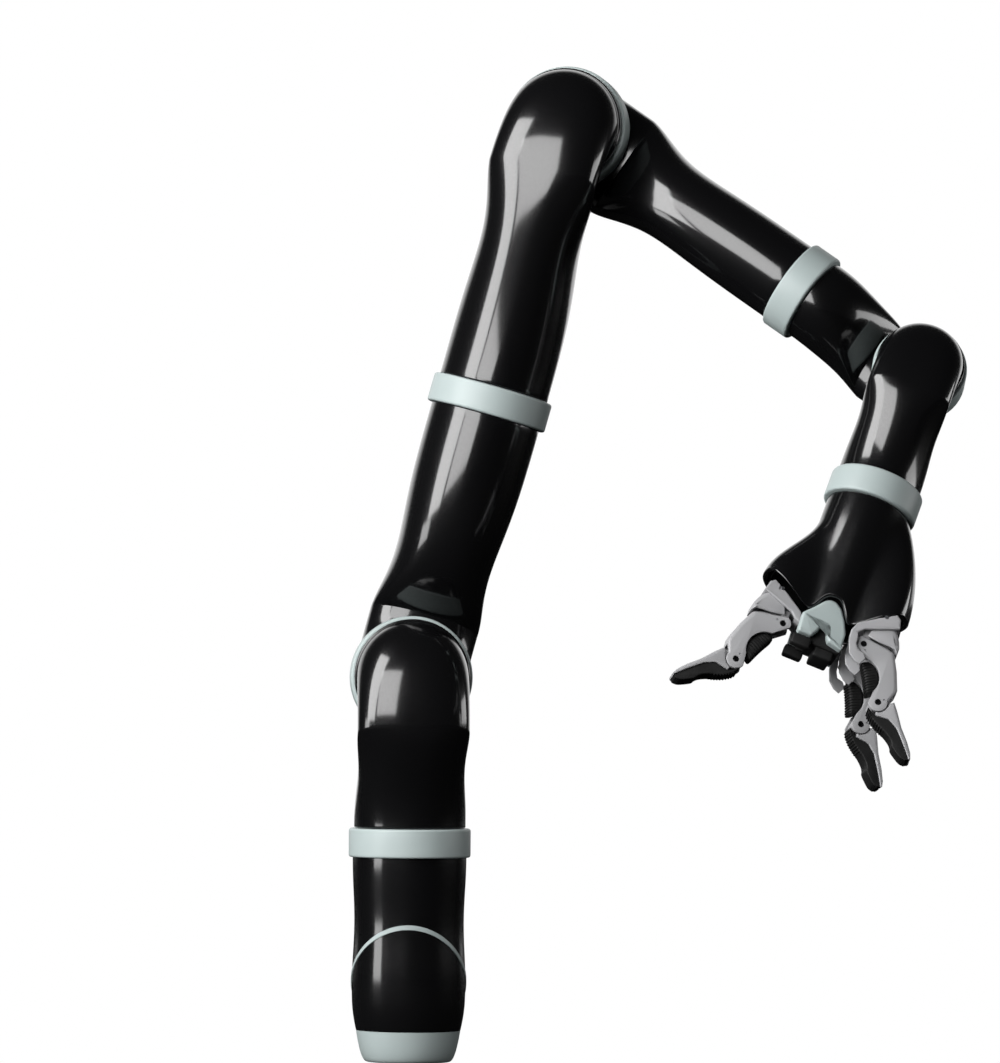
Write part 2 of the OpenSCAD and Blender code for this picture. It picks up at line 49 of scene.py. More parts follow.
# ---- Driving dimensions, in millimetres, as in the CAD ----
HALF_RING = 10.35
FAR_FACE = 10.95
BEZEL_W = 6.3
BIG_RING_R = 43.7
SMALL_RING_R = 33.6
BIG_RING_HOLE = 36.5
SMALL_RING_HOLE = 27.8
BIG_TUBE_R = 39.9
SMALL_TUBE_R = 30.2
BIG_DOME_R = 40.0
SMALL_DOME_R = 30.0
BIG_DOME_D = 57.0
SMALL_DOME_D = 43.0
WALL = 2.5
SHOULDER_LEN = 118.75
HALF_ARM_LEN = 205.0
FOREARM_LEN = 207.3
FOREARM_STEP = 9.8
WRIST_LEN = 103.75
FOOT_H = 22.5
FOOT_LOW_R = 29.0
FOOT_TOP_R = 37.4
BASE_TOP = 146.4
BASE_INNER_R = 35.5
COVER_MID_Z = 58.0
LINK_LEN = 44.0
LINK_HALF = 8.2
SLOT_HALF = 6.0
KNUCKLE_HALF = 9.4
BRACKET_HALF = 12.0
LUG_HALF = 5.6
TIP_HALF = 7.6

# ---- Frames of the links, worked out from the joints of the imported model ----
JOINTS = {joint["name"]: joint for joint in frame["joints"]}
ARM_JOINTS = [
    "shoulder_turn",
    "shoulder_fold",
    "upper_arm_turn",
    "elbow_fold",
    "wrist_turn",
    "wrist_fold",
    "hand_turn",
]
FINGERS = ["thumb", "far_finger", "near_finger"]


def joint_axis(name):
    return Vector(JOINTS[name]["axis"]).normalized()


def joint_place(name):
    return Vector(JOINTS[name]["pos_m"])


def axes_matrix(x, y, z, origin):
    matrix = Matrix((x, y, z)).transposed().to_4x4()
    matrix.translation = origin
    return matrix


def link_matrix(k):
    """Frame of link k: origin on joint k, Z along the link, Y along the sideways joint's axis."""
    if k == 0:
        return Matrix.Identity(4)
    along = joint_axis(ARM_JOINTS[k - 1 if k % 2 else k])
    if k == 7:
        across = -joint_axis("thumb_close")
    else:
        across = joint_axis(ARM_JOINTS[k if k % 2 else k - 1])
    across = (across - along * across.dot(along)).normalized()
    return axes_matrix(across.cross(along), across, along, joint_place(ARM_JOINTS[k - 1]))


LINKS = [link_matrix(k) for k in range(8)]


def joint_matrix(k):
    """Frame of joint k: Z along its axis, from the driven side to the output side."""
    if k == 6:
        return LINKS[k] @ Matrix.Rotation(math.radians(90), 4, "X")
    if k % 2 == 0:
        return LINKS[k] @ Matrix.Rotation(math.radians(-90), 4, "X")
    return LINKS[k]


def finger_matrix(finger):
    """Frame of a finger's first link: origin on its pivot, Z from pin to pin, X towards its back."""
    pivot = joint_place(finger + "_close")
    across = -joint_axis(finger + "_close")
    along = joint_place(finger + "_end_flex") - pivot
    along = (along - across * along.dot(across)).normalized()
    return axes_matrix(across.cross(along), across, along, pivot)


def pivot_matrix(finger):
    """Frame of a finger's bracket: origin on the pivot, Z along the hand, X outward."""
    along = LINKS[7].to_3x3().col[2].normalized()
    across = -joint_axis(finger + "_close")
    return axes_matrix(across.cross(along), across, along, joint_place(finger + "_close"))


TIP_BEND = {"thumb": 21, "far_finger": 9, "near_finger": 13}


def tip_matrix(finger):
    """Frame of a finger's second link: origin on its pin, Z towards its tip."""
    bend = Matrix.Rotation(math.radians(TIP_BEND[finger]), 4, "Y")
    return finger_matrix(finger) @ Matrix.Translation((0, 0, LINK_LEN * MM)) @ bend


# ---- Materials ----
def material(name, color, roughness, **sockets):
    mat = bpy.data.materials.new(name)
    mat.use_nodes = True
    shader = mat.node_tree.nodes["Principled BSDF"]
    shader.inputs["Base Color"].default_value = (*color, 1)
    shader.inputs["Roughness"].default_value = roughness
    for socket, value in sockets.items():
        shader.inputs[socket.replace("_", " ")].default_value = value
    return mat, mat.node_tree, shader


def object_coords(tree, scale=(1, 1, 1)):
    coords = tree.nodes.new("ShaderNodeTexCoord")
    mapping = tree.nodes.new("ShaderNodeMapping")
    mapping.inputs["Scale"].default_value = scale
    tree.links.new(coords.outputs["Object"], mapping.inputs["Vector"])
    return mapping.outputs["Vector"]


def noise(tree, vector, scale, detail=2.0):
    node = tree.nodes.new("ShaderNodeTexNoise")
    node.inputs["Scale"].default_value = scale
    node.inputs["Detail"].default_value = detail
    tree.links.new(vector, node.inputs["Vector"])
    return node.outputs["Fac"]


def ramp(tree, value, stops):
    node = tree.nodes.new("ShaderNodeValToRGB")
    elements = node.color_ramp.elements
    while len(elements) < len(stops):
        elements.new(0.5)
    for element, (place, color) in zip(elements, stops):
        element.position = place
        element.color = (*color, 1) if len(color) == 3 else color
    tree.links.new(value, node.inputs["Fac"])
    return node.outputs["Color"]


def grey(value):
    return (value, value, value)


def bump(tree, shader, height, strength, distance):
    node = tree.nodes.new("ShaderNodeBump")
    node.inputs["Strength"].default_value = strength
    node.inputs["Distance"].default_value = distance
    tree.links.new(height, node.inputs["Height"])
    tree.links.new(node.outputs["Normal"], shader.inputs["Normal"])


def shell_material():
    """Black moulded shell: a glossy black with very fine flecks under a deep clear coat."""
    mat, tree, shader = material(
        "shell_gloss_black", (0.0036, 0.0036, 0.004), 0.25,
        Coat_Weight=1.0, Coat_Roughness=0.11, Coat_IOR=1.6, Specular_IOR_Level=0.12,
    )
    vector = object_coords(tree)
    flake = tree.nodes.new("ShaderNodeTexVoronoi")
    flake.inputs["Scale"].default_value = 2400
    tree.links.new(vector, flake.inputs["Vector"])
    split = tree.nodes.new("ShaderNodeSeparateColor")
    tree.links.new(flake.outputs["Color"], split.inputs["Color"])
    shine = ramp(tree, split.outputs["Red"], [(0.0, grey(0.32)), (0.7, grey(0.27)), (1.0, grey(0.2))])
    tree.links.new(shine, shader.inputs["Roughness"])
    bump(tree, shader, split.outputs["Green"], 0.12, 0.0001)
    return mat


def satin_material(name, color, roughness, mottling, grain):
    """Moulded satin plastic: faint mottling and a fine spark-eroded grain."""
    mat, tree, shader = material(name, color, roughness, Specular_IOR_Level=0.45)
    vector = object_coords(tree)
    blotch = noise(tree, vector, 22, 4.0)
    low = tuple(c * (1 - mottling) for c in color)
    high = tuple(min(1, c * (1 + mottling)) for c in color)
    tree.links.new(ramp(tree, blotch, [(0.3, low), (0.7, high)]), shader.inputs["Base Color"])
    fine = noise(tree, vector, 1400, 2.0)
    worn = [(0.3, grey(roughness - 0.05)), (0.7, grey(roughness + 0.06))]
    wear = ramp(tree, noise(tree, vector, 60, 3.0), worn)
    tree.links.new(wear, shader.inputs["Roughness"])
    bump(tree, shader, fine, grain, 0.0002)
    return mat


def rubber_material():
    mat, tree, shader = material("rubber_black", (0.009, 0.009, 0.01), 0.62, Specular_IOR_Level=0.3)
    vector = object_coords(tree)
    dust = noise(tree, vector, 90, 5.0)
    tree.links.new(ramp(tree, dust, [(0.35, grey(0.006)), (0.75, grey(0.014))]), shader.inputs["Base Color"])
    bump(tree, shader, noise(tree, vector, 900, 3.0), 0.25, 0.0003)
    return mat


def metal_material(name, color, roughness):
    mat, tree, shader = material(name, color, roughness, Metallic=1.0)
    vector = object_coords(tree, (1, 1, 40))
    streaks = noise(tree, vector, 60, 3.0)
    tree.links.new(
        ramp(tree, streaks, [(0.3, grey(roughness - 0.08)), (0.7, grey(roughness + 0.1))]),
        shader.inputs["Roughness"],
    )
    bump(tree, shader, streaks, 0.06, 0.0003)
    return mat


def board_material():
    mat, tree, shader = material("circuit_board", (0.01, 0.10, 0.04), 0.35)
    tracks = noise(tree, object_coords(tree), 220, 1.0)
    tree.links.new(
        ramp(tree, tracks, [(0.45, (0.008, 0.08, 0.03)), (0.5, (0.02, 0.16, 0.07))]),
        shader.inputs["Base Color"],
    )
    return mat


SHELL = shell_material()
PALE = satin_material("pale_green_satin", (0.42, 0.485, 0.48), 0.42, 0.03, 0.05)
GREY = satin_material("finger_grey_satin", (0.38, 0.38, 0.39), 0.36, 0.04, 0.06)
DARK = satin_material("panel_black_satin", (0.02, 0.02, 0.021), 0.5, 0.15, 0.1)
RUBBER = rubber_material()
METAL = metal_material("anodised_metal", (0.35, 0.36, 0.38), 0.35)
STEEL = metal_material("blackened_steel", (0.03, 0.03, 0.032), 0.4)
BOARD = board_material()


# ---- Mesh tools ----
def make_mesh(name, points, faces, matrix, body, mat, slot, replaced=(), sharp=35):
    """A piece from points in millimetres in a local frame, riding on a body."""
    mesh = bpy.data.meshes.new(name)
    mesh.from_pydata([matrix @ (Vector(p) * MM) for p in points], [], faces)
    mesh.validate()
    work = bmesh.new()
    work.from_mesh(mesh)
    bmesh.ops.remove_doubles(work, verts=work.verts, dist=1e-7)
    bmesh.ops.recalc_face_normals(work, faces=work.faces)
    work.to_mesh(mesh)
    work.free()
    return place(bpy.data.objects.new(name, mesh), body, mat, slot, replaced, sharp)


def place(piece, body, mat, slot, replaced=(), sharp=35):
    if piece.name not in bpy.context.scene.collection.objects:
        bpy.context.scene.collection.objects.link(piece)
    mesh = piece.data
    mesh.materials.clear()
    mesh.materials.append(mat)
    mesh.polygons.foreach_set("use_smooth", [True] * len(mesh.polygons))
    mesh.set_sharp_from_angle(angle=math.radians(sharp))
    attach(piece, body)
    if replaced:
        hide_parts(*replaced)
    return piece


def grid_faces(rows, cols, wrap_rows=False):
    """Quads over a grid that closes on itself across its columns."""
    last = rows if wrap_rows else rows - 1
    faces = []
    for i in range(last):
        for j in range(cols):
            a, b = i * cols + j, i * cols + (j + 1) % cols
            c, d = ((i + 1) % rows) * cols + (j + 1) % cols, ((i + 1) % rows) * cols + j
            faces.append((a, b, c, d))
    return faces


def rounded(points, radii, steps=5):
    """A closed outline with its corners rounded; a radius of 0 keeps a corner."""
    out = []
    count = len(points)
    for i in range(count):
        p, radius = np.array(points[i], float), radii[i] if np.ndim(radii) else radii
        before, after = np.array(points[i - 1], float), np.array(points[(i + 1) % count], float)
        u, v = before - p, after - p
        lu, lv = np.linalg.norm(u), np.linalg.norm(v)
        if radius <= 0 or lu < 1e-9 or lv < 1e-9:
            out.append(p)
            continue
        u, v = u / lu, v / lv
        angle = math.acos(max(-1, min(1, float(u @ v))))
        if angle > math.pi - 0.02:
            out.append(p)
            continue
        cut = min(radius / math.tan(angle / 2), 0.49 * lu, 0.49 * lv)
        a, b = p + u * cut, p + v * cut
        for k in range(steps + 1):
            t = k / steps
            out.append((1 - t) ** 2 * a + 2 * t * (1 - t) * p + t * t * b)
    return [tuple(q) for q in out]


def lathe(name, profile, matrix, body, mat, slot, replaced=(), around=160, sharp=35):
    """A closed outline of (radius, height) turned about Z."""
    points = []
    for r, z in profile:
        for j in range(around):
            a = 2 * math.pi * j / around
            points.append((r * math.cos(a), r * math.sin(a), z))
    faces = grid_faces(len(profile), around, True)
    return make_mesh(name, points, faces, matrix, body, mat, slot, replaced, sharp)


def apply_modifiers(piece):
    graph = bpy.context.evaluated_depsgraph_get()
    graph.update()
    mesh = bpy.data.meshes.new_from_object(piece.evaluated_get(graph))
    piece.modifiers.clear()
    old = piece.data
    piece.data = mesh
    bpy.data.meshes.remove(old)
    return piece


def prism_object(name, outline, low, high):
    """A block from an outline in X and Z, in millimetres, between two places along Y."""
    work = bmesh.new()
    near = [work.verts.new((x, low, z)) for x, z in outline]
    far = [work.verts.new((x, high, z)) for x, z in outline]
    work.faces.new(near)
    work.faces.new(list(reversed(far)))
    for i in range(len(outline)):
        j = (i + 1) % len(outline)
        work.faces.new((near[j], near[i], far[i], far[j]))
    bmesh.ops.recalc_face_normals(work, faces=work.faces)
    mesh = bpy.data.meshes.new(name)
    work.to_mesh(mesh)
    work.free()
    piece = bpy.data.objects.new(name, mesh)
    bpy.context.scene.collection.objects.link(piece)
    return piece


def drum_object(name, radius, low, high, x=0.0, z=0.0, sides=48):
    """A cylinder along Y, in millimetres."""
    outline = [
        (x + radius * math.cos(2 * math.pi * k / sides), z + radius * math.sin(2 * math.pi * k / sides))
        for k in range(sides)
    ]
    return prism_object(name, outline, low, high)


def combine(piece, others, operation):
    for other in others:
        modifier = piece.modifiers.new("bool", "BOOLEAN")
        modifier.operation = operation
        modifier.solver = "EXACT"
        modifier.object = other
        apply_modifiers(piece)
        bpy.data.objects.remove(other)
    return piece


def bevel(piece, width):
    modifier = piece.modifiers.new("bevel", "BEVEL")
    modifier.width = width
    modifier.segments = 3
    modifier.limit_method = "ANGLE"
    modifier.angle_limit = math.radians(30)
    modifier.harden_normals = False
    return apply_modifiers(piece)


def settle(piece, matrix, body, mat, slot, replaced=(), sharp=35):
    """Moves a piece drawn in millimetres in a local frame to its place, and lets it ride."""
    piece.data.transform(matrix @ Matrix.Scale(MM, 4))
    return place(piece, body, mat, slot, replaced, sharp)


# ---- Arm shells ----
def mix(a, b, t):
    return a + (b - a) * t


def ease(t):
    return t * t * (3 - 2 * t)


def curve(points, t):
    weights = ((1 - t) ** 3, 3 * t * (1 - t) ** 2, 3 * t * t * (1 - t), t**3)
    return sum(np.array(p, float) * w for p, w in zip(points, weights))


def shell_section(s, length, rim_r, shift, mouth_r, mouth_w, depth, ring):
    """Domed-side point, open-side point, half width and fullness of a shell at station s."""
    k = mouth_r / 40
    heel = length - ring - 2.8
    brow = heel + 12 * k
    open_side = [
        (shift - rim_r, 0),
        (shift - rim_r, max(0.25 * heel, heel - 60 * k)),
        (shift - rim_r + 5, heel - 26 * k),
        (mouth_w + 0.5, heel),
    ]
    back_side = [(shift + rim_r, 0), (shift + rim_r, 0.4 * brow), (depth, 0.7 * brow), (depth, brow)]
    dome = [
        (depth, brow),
        (depth, length + 4 * k),
        (mix(mouth_w, depth, 0.6), length + mouth_r),
        (mouth_w, length + mouth_r),
    ]
    t1, t2 = min(1, 2 * s), max(0, 2 * s - 1)
    high = curve(back_side, t1) if t2 == 0 else curve(dome, t2)
    if t2 == 0:
        low = curve(open_side, t1)
    else:
        low = mix(np.array((mouth_w + 0.5, heel)), np.array((mouth_w, length - mouth_r)), t2)
    thin = 0.0325 * (length - 52) * math.sin(math.pi * t1**1.5) ** 2
    half = mix(rim_r, mouth_r, t1 * ease(t1)) - thin
    return high, low, half, mix(2, 2.35, math.sin(math.pi * s) ** 2)


def section_ring(section, inset, around):
    high, low, half_width, fullness = section
    middle = (high + low) / 2
    half = np.linalg.norm(high - low) / 2
    direction = (high - low) / (2 * half)
    angles = 2 * math.pi * np.arange(around) / around

    def power(x):
        return np.sign(x) * np.abs(x) ** (2 / fullness)

    across = (half_width - inset) * power(np.cos(angles))
    along = (half - inset) * power(np.sin(angles))
    return np.c_[across, middle[0] + along * direction[0], middle[1] + along * direction[1]]


def rim_lip(ring, outward, radius, steps=4):
    """Rings that round a shell's outer edge at an open end."""
    rings = []
    centre = ring.mean(axis=0)
    for k in range(steps + 1):
        a = math.pi / 2 * k / steps
        inset = radius * (1 - math.cos(a))
        drop = radius * (1 - math.sin(a))
        shrink = 1 - inset / np.linalg.norm(ring - centre, axis=1).mean()
        rings.append(centre + (ring - centre) * shrink - np.array(outward) * drop)
    return rings


def link_shell(name, k, body, size, flip, side, lift, around=128, stations=97):
    """A hollow shell from a round rim to a sideways mouth, with rounded edges at both ends."""
    outer = [section_ring(shell_section(i / (stations - 1), *size), 0, around) for i in range(stations)]
    inner = [section_ring(shell_section(i / (stations - 1), *size), WALL, around) for i in range(stations)]
    lip = 0.7
    rim = rim_lip(outer[0], (0, 0, -1), lip)
    mouth = rim_lip(outer[-1], (0, -1, 0), lip)
    rings = [*reversed(rim), *outer[1:-1], *mouth, *reversed(inner)]
    points = np.concatenate(rings)
    points = points * np.array([1, side, -1 if flip else 1]) + np.array([0, 0, lift])
    return make_mesh(
        name, points.tolist(), grid_faces(len(rings), around, True),
        LINKS[k], body, SHELL, "gloss_black_shell", (name.replace("_skin", "_shell"),), 50,
    )


def arm_shells():
    big_front = (BIG_DOME_R, FAR_FACE + BEZEL_W, BIG_DOME_D, BIG_RING_R)
    big_back = (BIG_DOME_R, HALF_RING, BIG_DOME_D, BIG_RING_R)
    link_shell(
        "shoulder_skin", 1, "shoulder",
        (SHOULDER_LEN - FAR_FACE, BIG_TUBE_R, 0, *big_front), False, -1, FAR_FACE,
    )
    link_shell(
        "lower_arm_skin", 2, "lower_arm",
        (HALF_ARM_LEN - HALF_RING, BIG_TUBE_R, 0, *big_back), True, 1, HALF_ARM_LEN - HALF_RING,
    )
    link_shell(
        "upper_arm_skin", 3, "upper_arm",
        (HALF_ARM_LEN - FAR_FACE, BIG_TUBE_R, 0, *big_front), False, -1, FAR_FACE,
    )
    link_shell(
        "forearm_skin", 4, "forearm",
        (FOREARM_LEN - HALF_RING, SMALL_TUBE_R, FOREARM_STEP, *big_back), True, 1, FOREARM_LEN - HALF_RING,
    )
    small_front = (SMALL_DOME_R, HALF_RING, SMALL_DOME_D, SMALL_RING_R)
    small_back = (SMALL_DOME_R, FAR_FACE + BEZEL_W, SMALL_DOME_D, SMALL_RING_R)
    link_shell(
        "wrist_1_skin", 5, "wrist_1",
        (WRIST_LEN - FAR_FACE, SMALL_TUBE_R, 0, *small_front), False, 1, FAR_FACE,
    )
    link_shell(
        "wrist_2_skin", 6, "wrist_2",
        (WRIST_LEN - HALF_RING, SMALL_TUBE_R, 0, *small_back), True, -1, WRIST_LEN - HALF_RING,
    )


# ---- Rings, bezels and the machinery seen through the gaps ----
RING_BODIES = ["base", "lower_arm", "lower_arm", "forearm", "forearm", "wrist_1", "wrist_2"]
DRIVEN_BODIES = ["base", "shoulder", "lower_arm", "upper_arm", "forearm", "wrist_1", "wrist_2"]
OUTPUT_BODIES = ["shoulder", "lower_arm", "upper_arm", "forearm", "wrist_1", "wrist_2", "hand"]


def is_big(k):
    return k < 5


def joint_rings():
    for k in range(1, 8):
        r = BIG_RING_R if is_big(k) else SMALL_RING_R
        hole = BIG_RING_HOLE if is_big(k) else SMALL_RING_HOLE
        profile = rounded(
            [(hole, -HALF_RING), (r, -HALF_RING), (r, HALF_RING), (hole, HALF_RING)], [0.4, 2.0, 2.0, 0.4], 8
        )
        lathe(
            f"ring_band_{k}", profile, joint_matrix(k), RING_BODIES[k - 1], PALE, "pale_green_plastic",
            (f"ring_{k}",), 192, 50,
        )


def bezel_profile(r, hole, low, high):
    return rounded([(hole, low), (r, low), (r, high), (hole, high)], [0, 1.4, 1.4, 0], 6)


def bezels():
    """The black collar beside each sideways joint's ring, in one with the machinery behind it."""
    for k in (2, 4, 6):
        r = (BIG_RING_R if is_big(k) else SMALL_RING_R) - 2.2
        high = -FAR_FACE if k != 6 else FAR_FACE + BEZEL_W
        body = DRIVEN_BODIES[k - 1] if k != 6 else OUTPUT_BODIES[k - 1]
        node = f"actuator_{k}" if k != 6 else f"output_{k}"
        profile = bezel_profile(r, 12.3 if k != 6 else 6.2, high - BEZEL_W, high)
        lathe(f"bezel_{k}", profile, joint_matrix(k), body, SHELL, "gloss_black_shell", (node,), 160, 50)


def dress_nodes():
    """CAD nodes whose shape is right keep it, and get their finish here."""
    for name, node in frame["nodes"].items():
        if name.startswith(("actuator", "output")) or name == "finger_drives":
            finish_mat = METAL
        elif name == "controller_board":
            finish_mat = BOARD
        elif name.endswith("_pins"):
            finish_mat = STEEL
        elif name in ("connector_panel",):
            finish_mat = DARK
        elif name.endswith("_pad"):
            finish_mat = RUBBER
        elif name.endswith("_shell") or name == "base_cover":
            finish_mat = SHELL
        elif name.startswith(("ring", "base_foot", "base_trim", "palm_cover")):
            finish_mat = PALE
        else:
            finish_mat = GREY
        node.data.materials.clear()
        node.data.materials.append(finish_mat)


# ---- Base ----
def base_r(z):
    """Radius of the base: swells low down, has a waist under the ring, and tucks in above the foot."""
    return 40 + 0.75 * math.cos(math.radians(4 * (z - 55))) - 0.0045 * max(0, 44 - z) ** 2


def edge_z(angle):
    """Height of the cover's slanting edge on the base's surface."""
    z = COVER_MID_Z
    for _ in range(12):
        z = COVER_MID_Z - base_r(min(max(z, FOOT_H), BASE_TOP)) * math.sin(angle)
    return z


def wrap_surface(name, low, high, extra, mat, slot, node, lip, rows=60, around=192):
    """A hollow band of the base between two edges that depend on the angle."""
    rings = []
    for i in range(rows + 1):
        t = i / rows
        rings.append([(a, mix(low(a), high(a), t), extra) for a in angles(around)])
    lower = [[(a, low(a), extra - inset) for a in angles(around)] for inset in (lip * 0.35, lip)]
    upper = [[(a, high(a), extra - inset) for a in angles(around)] for inset in (lip * 0.35, lip)]
    rings[0] = [(a, low(a) + lip * 0.35, extra) for a in angles(around)]
    rings[-1] = [(a, high(a) - lip * 0.35, extra) for a in angles(around)]
    inside = []
    for i in range(rows, -1, -6):
        inside.append([(a, mix(low(a), high(a), i / rows), None) for a in angles(around)])
    rings = [lower[1], lower[0], *rings, upper[0], upper[1], *inside]
    points = []
    for ring in rings:
        for a, z, grow in ring:
            r = BASE_INNER_R if grow is None else base_r(z) + grow
            points.append((r * math.cos(a), r * math.sin(a), z))
    return make_mesh(
        name, points, grid_faces(len(rings), around, True), LINKS[0], "base", mat, slot, (node,), 40
    )


def angles(count):
    return [2 * math.pi * j / count for j in range(count)]


def base_pieces():
    half_trim = 1.7

    def cover_top(a):
        return max(edge_z(a) - half_trim, FOOT_H + 0.05)

    def trim_top(a):
        return max(edge_z(a) + half_trim, FOOT_H + 0.1)

    wrap_surface(
        "base_front_cover", lambda a: FOOT_H, cover_top, 0, SHELL, "gloss_black_shell", "base_cover", 0.5
    )
    wrap_surface(
        "base_trim_band", cover_top, trim_top, 0.7, PALE, "pale_green_plastic", "base_trim", 0.5, 6
    )
    wrap_surface(
        "base_upper_shell", trim_top, lambda a: BASE_TOP, 0, SHELL, "gloss_black_shell", "base_shell", 0.5
    )
    rise = [(mix(FOOT_LOW_R, FOOT_TOP_R, (i / 16) ** 0.84), FOOT_H * (i / 16) ** 2) for i in range(17)]
    foot = [(0.01, 0), *rise, (30, FOOT_H), (30, 14), (0.01, 14)]
    lathe("base_foot_ring", foot, LINKS[0], "base", PALE, "pale_green_plastic", ("base_foot",), 192, 40)


# ---- Hand ----
HAND_MOUTH = 106.0
LOBE_ANGLES = (0, 155, 205)
LOBE_WIDTHS = (34, 25, 25)
LOBE_REACH = (54.6, 54.8, 54.8)


def turn_between(a, b):
    return abs((a - b + 540) % 360 - 180)


def lobe(a, i, e):
    return math.exp(-((turn_between(a, LOBE_ANGLES[i]) / LOBE_WIDTHS[i]) ** e))


def mouth_z(a):
    """Edge of the shell: cut back over each lobe's end and in an arch over each valley."""
    valley = max(math.exp(-((turn_between(a, c) / 29) ** 3)) for c in (80, 280))
    return HAND_MOUTH - max(22 * lobe(a, 0, 4), 18.5 * lobe(a, 1, 4), 18.5 * lobe(a, 2, 4)) - 16 * valley


def swell(s, i):
    """The thumb's lobe swells late; the fingers' lobes swell from the ring on."""
    return ease(max(0, (s - 0.25) / 0.75)) if i == 0 else 1 - (1 - s) ** 1.9


def hand_r(a, s):
    waist = mix(SMALL_TUBE_R, 25, ease(s))
    e = mix(2, 4, s)
    reach = [mix(SMALL_TUBE_R, LOBE_REACH[i], swell(s, i)) for i in range(3)]
    return waist + max((reach[i] - waist) * lobe(a, i, e) for i in range(3))


def hand_ring(s, inset, around, back=0.0):
    """A ring of the hand's skin; back pulls it away from the mouth."""
    ring = []
    for j in range(around):
        a = 360 * j / around
        r = hand_r(a, s) - inset
        z = mix(FAR_FACE, mouth_z(a), s) - back
        ring.append((r * math.cos(math.radians(a)), r * math.sin(math.radians(a)), z))
    return ring


def hand_shell(around=288, rows=80, lip=1.7):
    outer = [hand_ring(i / rows, 0, around) for i in range(rows - 1)]
    for k in range(7):
        turn = math.radians(15 * k)
        outer.append(hand_ring(1, lip * (1 - math.cos(turn)), around, lip * (1 - math.sin(turn))))
    inner = [hand_ring(i / rows, WALL, around) for i in range(rows, -1, -1)]
    rings = outer + inner
    points = [p for ring in rings for p in ring]
    make_mesh(
        "hand_skin", points, grid_faces(len(rings), around, True), LINKS[7], "hand", SHELL,
        "gloss_black_shell", ("hand_shell",), 50,
    )


# ---- Blocks with rounded edges, for the palm and the fingers ----
def arc(cx, cz, r, start, end, count):
    turns = [math.radians(mix(start, end, i / count)) for i in range(count + 1)]
    return [(cx + r * math.cos(a), cz + r * math.sin(a)) for a in turns]


def inward(outline):
    """Unit normals of a closed outline, pointing into it."""
    points = np.array(outline, float)
    following, before = np.roll(points, -1, axis=0), np.roll(points, 1, axis=0)
    area = np.sum(points[:, 0] * following[:, 1] - following[:, 0] * points[:, 1])
    along = following - before
    along /= np.maximum(np.linalg.norm(along, axis=1), 1e-9)[:, None]
    return np.c_[-along[:, 1], along[:, 0]] * (1 if area > 0 else -1)


def block(name, outline, low, high, edge, back=0.0, back_from=4.0, steps=6):
    """A block from an outline in X and Z between two places along Y; its back edges can be rounder."""
    points = np.array(outline, float)
    normals = inward(outline)
    radii = np.array([back if back and x > back_from else edge for x, _ in outline])
    radii = (radii + np.roll(radii, 1) + np.roll(radii, -1)) / 3
    reach = max(back, edge)
    rings = []
    for k in range(steps + 1):
        depth = reach * (1 - math.cos(math.pi / 2 * k / steps))
        rings.append((low + depth, depth))
    rings += [(high - depth, depth) for _, depth in reversed(rings)]
    work = bmesh.new()
    rows = []
    for y, depth in rings:
        t = np.clip(1 - depth / radii, 0, 1)
        inset = radii * (1 - np.sqrt(1 - t**2))
        ring = points + normals * inset[:, None]
        rows.append([work.verts.new((x, y, z)) for x, z in ring])
    count = len(outline)
    for a, b in zip(rows, rows[1:]):
        for i in range(count):
            j = (i + 1) % count
            work.faces.new((a[i], a[j], b[j], b[i]))
    work.faces.new(rows[0])
    work.faces.new(list(reversed(rows[-1])))
    bmesh.ops.recalc_face_normals(work, faces=work.faces)
    mesh = bpy.data.meshes.new(name)
    work.to_mesh(mesh)
    work.free()
    piece = bpy.data.objects.new(name, mesh)
    bpy.context.scene.collection.objects.link(piece)
    return piece


def cuboid(name, low, high, edge=0.0):
    outline = [(low[0], low[2]), (high[0], low[2]), (high[0], high[2]), (low[0], high[2])]
    piece = prism_object(name, outline, low[1], high[1])
    return bevel(piece, edge) if edge else piece


def join(piece, others):
    """Gathers closed bodies into one mesh."""
    work = bmesh.new()
    for part in (piece, *others):
        work.from_mesh(part.data)
    work.to_mesh(piece.data)
    work.free()
    for other in others:
        bpy.data.objects.remove(other)
    return piece


# ---- Palm ----
PALM_ARCH = [
    (21, 107.5), (20.4, 120.5), (19, 122), (9.6, 122), (6.4, 116), (5.6, 112.4), (3.4, 110.6), (1.2, 111.6),
    (-0.6, 118), (-2.8, 121.5), (-13.5, 124), (-12.6, 111.5), (-9, 102.6), (-4.2, 95), (0.6, 91.6), (5.2, 91),
    (9.4, 93.8), (14.4, 100.4),
]
PALM_CORNERS = [2, 1.5, 1.2, 2, 1, 2, 2, 2, 1, 1.5, 1, 6, 6, 6, 6, 6, 6, 6]


def palm():
    arch = rounded(PALM_ARCH, PALM_CORNERS, 4)
    cover = block("palm_arch", arch, -20.4, 20.4, 2.2)
    combine(cover, [cuboid("cut", (-40, -13.2, 104.6), (40, 13.2, 140))], "DIFFERENCE")
    settle(cover, LINKS[7], "hand", PALE, "pale_green_plastic", ("palm_cover",), 40)
    base = cuboid("palm_grips", (-13.5, -12.9, 104.9), (10, 12.9, 125), 1.2)
    blocks = [cuboid("tooth", (-10, -11, 118), (4, 11, 131.5), 1.5)]
    for side in (-1, 1):
        low, high = sorted((side * 7.4, side * 12.9))
        blocks.append(cuboid("rib", (9, low, 104.9), (15.5, high, 125), 1.0))
        low, high = sorted((side * 9, side * 16.4))
        blocks.append(cuboid("prong", (8, low, 122.3), (22, high, 130.5), 1.5))
    settle(join(base, blocks), LINKS[7], "hand", RUBBER, "black_rubber", ("palm_pad",), 40)


